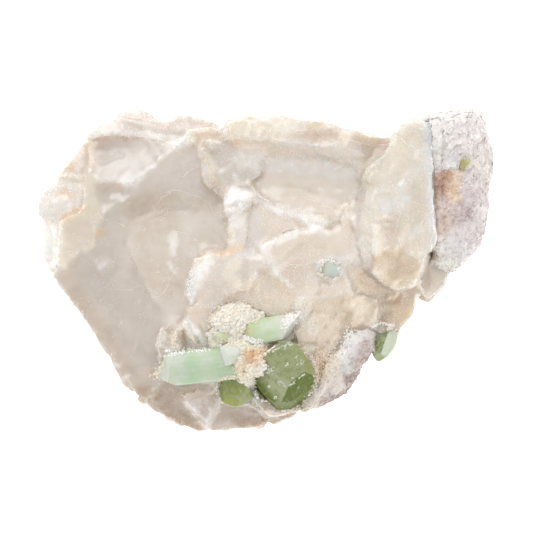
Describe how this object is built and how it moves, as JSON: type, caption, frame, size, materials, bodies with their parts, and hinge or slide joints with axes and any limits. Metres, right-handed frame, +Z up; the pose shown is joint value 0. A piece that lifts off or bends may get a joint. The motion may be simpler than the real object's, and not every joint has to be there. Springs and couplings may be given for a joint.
{
  "type": "green tourmaline specimen",
  "caption": "Green tourmaline crystals in a lump of milky quartz with lilac lepidolite on one end, lying on its flat broken back.",
  "frame": {"origin": "middle of the specimen's box, on the plane its flat back rests on", "axes": "+X along the length towards the lilac mica end, +Y across it, away from the edge with the crystals, +Z up through the face that shows the crystals"},
  "size_m": [0.091, 0.0646, 0.0389],
  "materials": {
    "quartz": "smoky to milky quartz, glassy breaks with frosted edges",
    "lepidolite": "granular lilac-grey mica",
    "albite": "sugary cream feldspar",
    "tourmaline_mint": "clear pale green crystal with striated sides",
    "tourmaline_green": "clear deep green crystal with striated sides",
    "tourmaline_olive": "clear yellow-green crystal",
    "tourmaline_pale": "pale cloudy green crystal"
  },
  "bodies": {
    "root": {"quartz_matrix": "quartz", "lepidolite_crust": "lepidolite", "lower_edge_band": "lepidolite", "albite_cluster": "albite", "tourmaline_mint_prism": "tourmaline_mint", "tourmaline_upper_prism": "tourmaline_mint", "tourmaline_green_prism": "tourmaline_green", "tourmaline_olive_crystal": "tourmaline_olive", "tourmaline_edge_crystal": "tourmaline_olive", "tourmaline_yellow_chip": "tourmaline_olive", "tourmaline_sliver": "tourmaline_olive", "tourmaline_small_spray": "tourmaline_pale", "tourmaline_mint_chip": "tourmaline_pale", "tourmaline_pale_chunk": "tourmaline_pale"}
  },
  "joints": []
}
